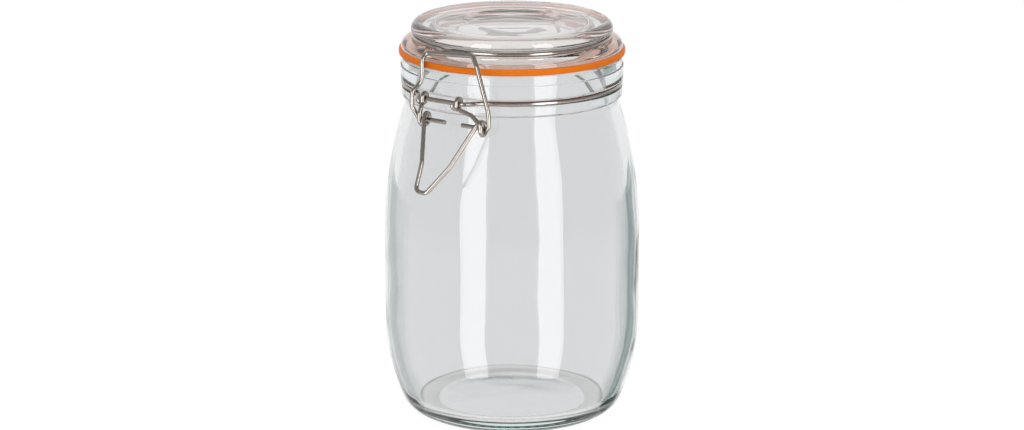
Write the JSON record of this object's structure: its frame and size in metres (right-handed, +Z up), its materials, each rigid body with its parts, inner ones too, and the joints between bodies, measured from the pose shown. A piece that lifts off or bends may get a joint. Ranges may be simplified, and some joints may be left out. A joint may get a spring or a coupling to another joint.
{
  "type": "clip-top glass canister",
  "caption": "Round glass storage jar with a glass lid, a rubber seal and a bent-wire clip closure with a rear wire hinge.",
  "frame": {"origin": "centre of the ring that the jar stands on, on the jar's axis", "axes": "+Z up along the jar's axis, the clasp faces -Y and the hinge faces +Y"},
  "size_m": [0.1132, 0.1313, 0.1772],
  "materials": {
    "clear_glass": "clear pressed glass with a faint green tint in its thick edges",
    "orange_rubber": "smooth satin rubber",
    "steel_wire": "bright drawn steel wire"
  },
  "bodies": {
    "jar": {"glass_jar": "clear_glass", "neck_ring": "steel_wire"},
    "lid": {"glass_lid": "clear_glass", "rubber_seal": "orange_rubber", "lid_ring": "steel_wire"},
    "lever": {"lever": "steel_wire"},
    "clasp": {"clasp": "steel_wire"}
  },
  "joints": [
    {"name": "lid_hinge", "type": "hinge", "parent": "jar", "child": "lid", "pos_m": [0, 0.0528, 0.164], "axis": [-1, 0, 0], "range_deg": [0, 60]},
    {"name": "lever_pivot", "type": "hinge", "parent": "jar", "child": "lever", "pos_m": [0, -0.0516, 0.1498], "axis": [-1, 0, 0], "range_deg": [0, 30]},
    {"name": "clasp_pivot", "type": "hinge", "parent": "lever", "child": "clasp", "pos_m": [0, -0.055, 0.1417], "axis": [1, 0, 0], "range_deg": [0, 146]}
  ],
  "couplings": [
    {"joint": "lever_pivot", "follows": "lid_hinge", "ratio": 0.5},
    {"joint": "clasp_pivot", "follows": "lid_hinge", "ratio": 2.42}
  ]
}
